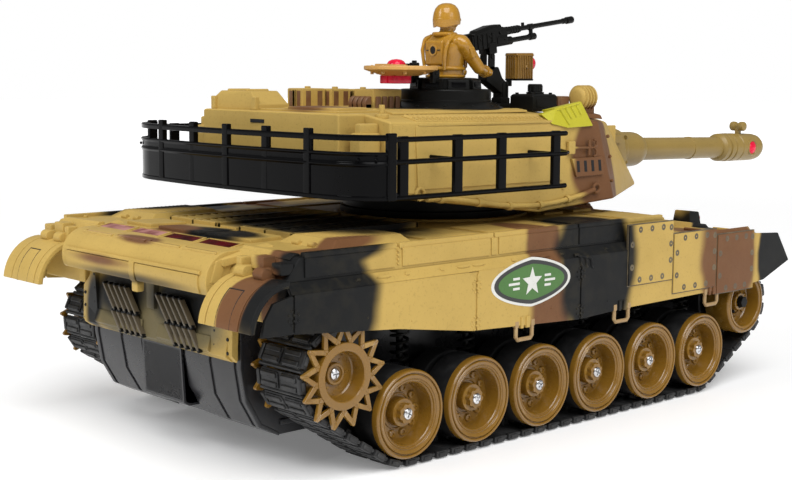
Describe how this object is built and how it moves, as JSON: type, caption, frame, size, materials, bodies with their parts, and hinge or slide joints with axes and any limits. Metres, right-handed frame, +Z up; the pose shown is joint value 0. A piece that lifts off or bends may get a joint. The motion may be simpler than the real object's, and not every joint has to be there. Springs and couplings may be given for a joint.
{
  "type": "radio controlled tank",
  "caption": "Radio controlled toy tank: tracked hull with sprung road wheels, traversing turret with elevating gun, rear basket, open hatch with a crew figure and roof machine gun.",
  "frame": {"origin": "on the ground under the middle of the whole model, rear flaps to muzzle", "axes": "+X forward along the gun, +Y to the tank's left, +Z up"},
  "size_m": [0.4752, 0.1916, 0.1961],
  "materials": {
    "sand_plastic": "sprayed sand, brown and black camouflage with soft edges on moulded plastic",
    "grey_plastic": "satin moulded plastic",
    "gloss_black": "glossy moulded plastic",
    "satin_black": "satin moulded plastic",
    "ochre_plastic": "semi-gloss moulded plastic with darker recesses",
    "gun_tan": "satin moulded plastic",
    "figure_ochre": "semi-gloss moulded plastic",
    "track_rubber": "semi-matte moulded links",
    "red_lens": "clear red plastic",
    "lime_plastic": "yellow moulded plastic",
    "battery_wrap": "shrink wrap",
    "board_green": "printed board",
    "motor_steel": "brushed",
    "arm_black": "satin moulded plastic"
  },
  "bodies": {
    "hull": {"lower_hull": "grey_plastic", "upper_hull": "sand_plastic", "tail_light_lens": "red_lens", "rear_exhaust_panel": "sand_plastic", "battery_pack": "battery_wrap", "battery_cover": "grey_plastic", "drive_gearbox": "motor_steel", "circuit_board": "board_green", "turret_motor": "motor_steel", "skirt_right": "sand_plastic", "skirt_left": "sand_plastic", "mudflap_right": "sand_plastic", "mudflap_left": "sand_plastic", "track_right": "track_rubber", "track_left": "track_rubber"},
    "power_switch": {"power_switch": "gloss_black"},
    "turret": {"turret_shell": "sand_plastic", "turret_base": "satin_black", "stowage_basket": "gloss_black", "side_rail_right": "gloss_black", "side_rail_left": "gloss_black", "cupola_ring": "satin_black", "soldier": "figure_ochre", "mg_mount": "gloss_black", "ammo_box": "ochre_plastic", "sight_box": "satin_black", "smoke_launcher_right": "ochre_plastic", "side_box": "lime_plastic"},
    "gun": {"gun_barrel": "gun_tan", "muzzle_lens": "red_lens"},
    "hatch_lid": {"hatch_lid": "sand_plastic"},
    "machine_gun": {"machine_gun": "gloss_black"},
    "sprocket_right": {"sprocket_right": "ochre_plastic"},
    "idler_right": {"idler_right": "ochre_plastic"},
    "suspension_arm_right_1": {"suspension_arm_right_1": "arm_black"},
    "road_wheel_right_1": {"road_wheel_right_1": "ochre_plastic"},
    "suspension_arm_right_2": {"suspension_arm_right_2": "arm_black"},
    "road_wheel_right_2": {"road_wheel_right_2": "ochre_plastic"},
    "suspension_arm_right_3": {"suspension_arm_right_3": "arm_black"},
    "road_wheel_right_3": {"road_wheel_right_3": "ochre_plastic"},
    "suspension_arm_right_4": {"suspension_arm_right_4": "arm_black"},
    "road_wheel_right_4": {"road_wheel_right_4": "ochre_plastic"},
    "suspension_arm_right_5": {"suspension_arm_right_5": "arm_black"},
    "road_wheel_right_5": {"road_wheel_right_5": "ochre_plastic"},
    "suspension_arm_right_6": {"suspension_arm_right_6": "arm_black"},
    "road_wheel_right_6": {"road_wheel_right_6": "ochre_plastic"},
    "sprocket_left": {"sprocket_left": "ochre_plastic"},
    "idler_left": {"idler_left": "ochre_plastic"},
    "suspension_arm_left_1": {"suspension_arm_left_1": "arm_black"},
    "road_wheel_left_1": {"road_wheel_left_1": "ochre_plastic"},
    "suspension_arm_left_2": {"suspension_arm_left_2": "arm_black"},
    "road_wheel_left_2": {"road_wheel_left_2": "ochre_plastic"},
    "suspension_arm_left_3": {"suspension_arm_left_3": "arm_black"},
    "road_wheel_left_3": {"road_wheel_left_3": "ochre_plastic"},
    "suspension_arm_left_4": {"suspension_arm_left_4": "arm_black"},
    "road_wheel_left_4": {"road_wheel_left_4": "ochre_plastic"},
    "suspension_arm_left_5": {"suspension_arm_left_5": "arm_black"},
    "road_wheel_left_5": {"road_wheel_left_5": "ochre_plastic"},
    "suspension_arm_left_6": {"suspension_arm_left_6": "arm_black"},
    "road_wheel_left_6": {"road_wheel_left_6": "ochre_plastic"}
  },
  "joints": [
    {"name": "turret_traverse", "type": "hinge", "parent": "hull", "child": "turret", "pos_m": [-0.053, 0, 0.092], "axis": [0, 0, 1], "range_deg": [-160, 160]},
    {"name": "gun_elevation", "type": "hinge", "parent": "turret", "child": "gun", "pos_m": [0.045, 0, 0.1205], "axis": [0, -1, 0], "range_deg": [-5, 15]},
    {"name": "hatch_lid_hinge", "type": "hinge", "parent": "turret", "child": "hatch_lid", "pos_m": [-0.078, -0.02, 0.1626], "axis": [0, 1, 0], "range_deg": [0, 70]},
    {"name": "machine_gun_elevation", "type": "hinge", "parent": "turret", "child": "machine_gun", "pos_m": [-0.034, -0.02, 0.1725], "axis": [0, -1, 0], "range_deg": [-12, 15]},
    {"name": "power_switch_slide", "type": "slide", "parent": "hull", "child": "power_switch", "axis": [1, 0, 0], "range_m": [0, 0.005]},
    {"name": "sprocket_right_spin", "type": "hinge", "parent": "hull", "child": "sprocket_right", "pos_m": [-0.189, -0.076, 0.0439], "axis": [0, 1, 0], "continuous": true},
    {"name": "idler_right_spin", "type": "hinge", "parent": "hull", "child": "idler_right", "pos_m": [0.091, -0.076, 0.0429], "axis": [0, 1, 0], "continuous": true},
    {"name": "suspension_right_1_swing", "type": "hinge", "parent": "hull", "child": "suspension_arm_right_1", "pos_m": [-0.1341, -0.0592, 0.0315], "axis": [0, 1, 0], "range_deg": [0, 3], "stiffness_Nm_per_rad": 0.06, "springref_deg": -11.46},
    {"name": "wheel_right_1_spin", "type": "hinge", "parent": "suspension_arm_right_1", "child": "road_wheel_right_1", "pos_m": [-0.1526, -0.077, 0.0225], "axis": [0, 1, 0], "continuous": true},
    {"name": "suspension_right_2_swing", "type": "hinge", "parent": "hull", "child": "suspension_arm_right_2", "pos_m": [-0.09324, -0.0592, 0.0315], "axis": [0, 1, 0], "range_deg": [0, 10], "stiffness_Nm_per_rad": 0.06, "springref_deg": -11.46},
    {"name": "wheel_right_2_spin", "type": "hinge", "parent": "suspension_arm_right_2", "child": "road_wheel_right_2", "pos_m": [-0.11174, -0.077, 0.0225], "axis": [0, 1, 0], "continuous": true},
    {"name": "suspension_right_3_swing", "type": "hinge", "parent": "hull", "child": "suspension_arm_right_3", "pos_m": [-0.05238, -0.0592, 0.0315], "axis": [0, 1, 0], "range_deg": [0, 10], "stiffness_Nm_per_rad": 0.06, "springref_deg": -11.46},
    {"name": "wheel_right_3_spin", "type": "hinge", "parent": "suspension_arm_right_3", "child": "road_wheel_right_3", "pos_m": [-0.07088, -0.077, 0.0225], "axis": [0, 1, 0], "continuous": true},
    {"name": "suspension_right_4_swing", "type": "hinge", "parent": "hull", "child": "suspension_arm_right_4", "pos_m": [-0.01152, -0.0592, 0.0315], "axis": [0, 1, 0], "range_deg": [0, 10], "stiffness_Nm_per_rad": 0.06, "springref_deg": -11.46},
    {"name": "wheel_right_4_spin", "type": "hinge", "parent": "suspension_arm_right_4", "child": "road_wheel_right_4", "pos_m": [-0.03002, -0.077, 0.0225], "axis": [0, 1, 0], "continuous": true},
    {"name": "suspension_right_5_swing", "type": "hinge", "parent": "hull", "child": "suspension_arm_right_5", "pos_m": [0.02934, -0.0592, 0.0315], "axis": [0, 1, 0], "range_deg": [0, 10], "stiffness_Nm_per_rad": 0.06, "springref_deg": -11.46},
    {"name": "wheel_right_5_spin", "type": "hinge", "parent": "suspension_arm_right_5", "child": "road_wheel_right_5", "pos_m": [0.01084, -0.077, 0.0225], "axis": [0, 1, 0], "continuous": true},
    {"name": "suspension_right_6_swing", "type": "hinge", "parent": "hull", "child": "suspension_arm_right_6", "pos_m": [0.0702, -0.0592, 0.0315], "axis": [0, 1, 0], "range_deg": [0, 10], "stiffness_Nm_per_rad": 0.06, "springref_deg": -11.46},
    {"name": "wheel_right_6_spin", "type": "hinge", "parent": "suspension_arm_right_6", "child": "road_wheel_right_6", "pos_m": [0.0517, -0.077, 0.0225], "axis": [0, 1, 0], "continuous": true},
    {"name": "sprocket_left_spin", "type": "hinge", "parent": "hull", "child": "sprocket_left", "pos_m": [-0.189, 0.076, 0.0439], "axis": [0, 1, 0], "continuous": true},
    {"name": "idler_left_spin", "type": "hinge", "parent": "hull", "child": "idler_left", "pos_m": [0.091, 0.076, 0.0429], "axis": [0, 1, 0], "continuous": true},
    {"name": "suspension_left_1_swing", "type": "hinge", "parent": "hull", "child": "suspension_arm_left_1", "pos_m": [-0.1341, 0.0592, 0.0315], "axis": [0, 1, 0], "range_deg": [0, 3], "stiffness_Nm_per_rad": 0.06, "springref_deg": -11.46},
    {"name": "wheel_left_1_spin", "type": "hinge", "parent": "suspension_arm_left_1", "child": "road_wheel_left_1", "pos_m": [-0.1526, 0.077, 0.0225], "axis": [0, 1, 0], "continuous": true},
    {"name": "suspension_left_2_swing", "type": "hinge", "parent": "hull", "child": "suspension_arm_left_2", "pos_m": [-0.09324, 0.0592, 0.0315], "axis": [0, 1, 0], "range_deg": [0, 10], "stiffness_Nm_per_rad": 0.06, "springref_deg": -11.46},
    {"name": "wheel_left_2_spin", "type": "hinge", "parent": "suspension_arm_left_2", "child": "road_wheel_left_2", "pos_m": [-0.11174, 0.077, 0.0225], "axis": [0, 1, 0], "continuous": true},
    {"name": "suspension_left_3_swing", "type": "hinge", "parent": "hull", "child": "suspension_arm_left_3", "pos_m": [-0.05238, 0.0592, 0.0315], "axis": [0, 1, 0], "range_deg": [0, 10], "stiffness_Nm_per_rad": 0.06, "springref_deg": -11.46},
    {"name": "wheel_left_3_spin", "type": "hinge", "parent": "suspension_arm_left_3", "child": "road_wheel_left_3", "pos_m": [-0.07088, 0.077, 0.0225], "axis": [0, 1, 0], "continuous": true},
    {"name": "suspension_left_4_swing", "type": "hinge", "parent": "hull", "child": "suspension_arm_left_4", "pos_m": [-0.01152, 0.0592, 0.0315], "axis": [0, 1, 0], "range_deg": [0, 10], "stiffness_Nm_per_rad": 0.06, "springref_deg": -11.46},
    {"name": "wheel_left_4_spin", "type": "hinge", "parent": "suspension_arm_left_4", "child": "road_wheel_left_4", "pos_m": [-0.03002, 0.077, 0.0225], "axis": [0, 1, 0], "continuous": true},
    {"name": "suspension_left_5_swing", "type": "hinge", "parent": "hull", "child": "suspension_arm_left_5", "pos_m": [0.02934, 0.0592, 0.0315], "axis": [0, 1, 0], "range_deg": [0, 10], "stiffness_Nm_per_rad": 0.06, "springref_deg": -11.46},
    {"name": "wheel_left_5_spin", "type": "hinge", "parent": "suspension_arm_left_5", "child": "road_wheel_left_5", "pos_m": [0.01084, 0.077, 0.0225], "axis": [0, 1, 0], "continuous": true},
    {"name": "suspension_left_6_swing", "type": "hinge", "parent": "hull", "child": "suspension_arm_left_6", "pos_m": [0.0702, 0.0592, 0.0315], "axis": [0, 1, 0], "range_deg": [0, 10], "stiffness_Nm_per_rad": 0.06, "springref_deg": -11.46},
    {"name": "wheel_left_6_spin", "type": "hinge", "parent": "suspension_arm_left_6", "child": "road_wheel_left_6", "pos_m": [0.0517, 0.077, 0.0225], "axis": [0, 1, 0], "continuous": true}
  ],
  "couplings": [
    {"joint": "idler_right_spin", "follows": "sprocket_right_spin", "ratio": 1.0417},
    {"joint": "wheel_right_1_spin", "follows": "sprocket_right_spin", "ratio": 0.9309},
    {"joint": "wheel_right_2_spin", "follows": "sprocket_right_spin", "ratio": 0.9309},
    {"joint": "wheel_right_3_spin", "follows": "sprocket_right_spin", "ratio": 0.9309},
    {"joint": "wheel_right_4_spin", "follows": "sprocket_right_spin", "ratio": 0.9309},
    {"joint": "wheel_right_5_spin", "follows": "sprocket_right_spin", "ratio": 0.9309},
    {"joint": "wheel_right_6_spin", "follows": "sprocket_right_spin", "ratio": 0.9309},
    {"joint": "idler_left_spin", "follows": "sprocket_left_spin", "ratio": 1.0417},
    {"joint": "wheel_left_1_spin", "follows": "sprocket_left_spin", "ratio": 0.9309},
    {"joint": "wheel_left_2_spin", "follows": "sprocket_left_spin", "ratio": 0.9309},
    {"joint": "wheel_left_3_spin", "follows": "sprocket_left_spin", "ratio": 0.9309},
    {"joint": "wheel_left_4_spin", "follows": "sprocket_left_spin", "ratio": 0.9309},
    {"joint": "wheel_left_5_spin", "follows": "sprocket_left_spin", "ratio": 0.9309},
    {"joint": "wheel_left_6_spin", "follows": "sprocket_left_spin", "ratio": 0.9309}
  ]
}
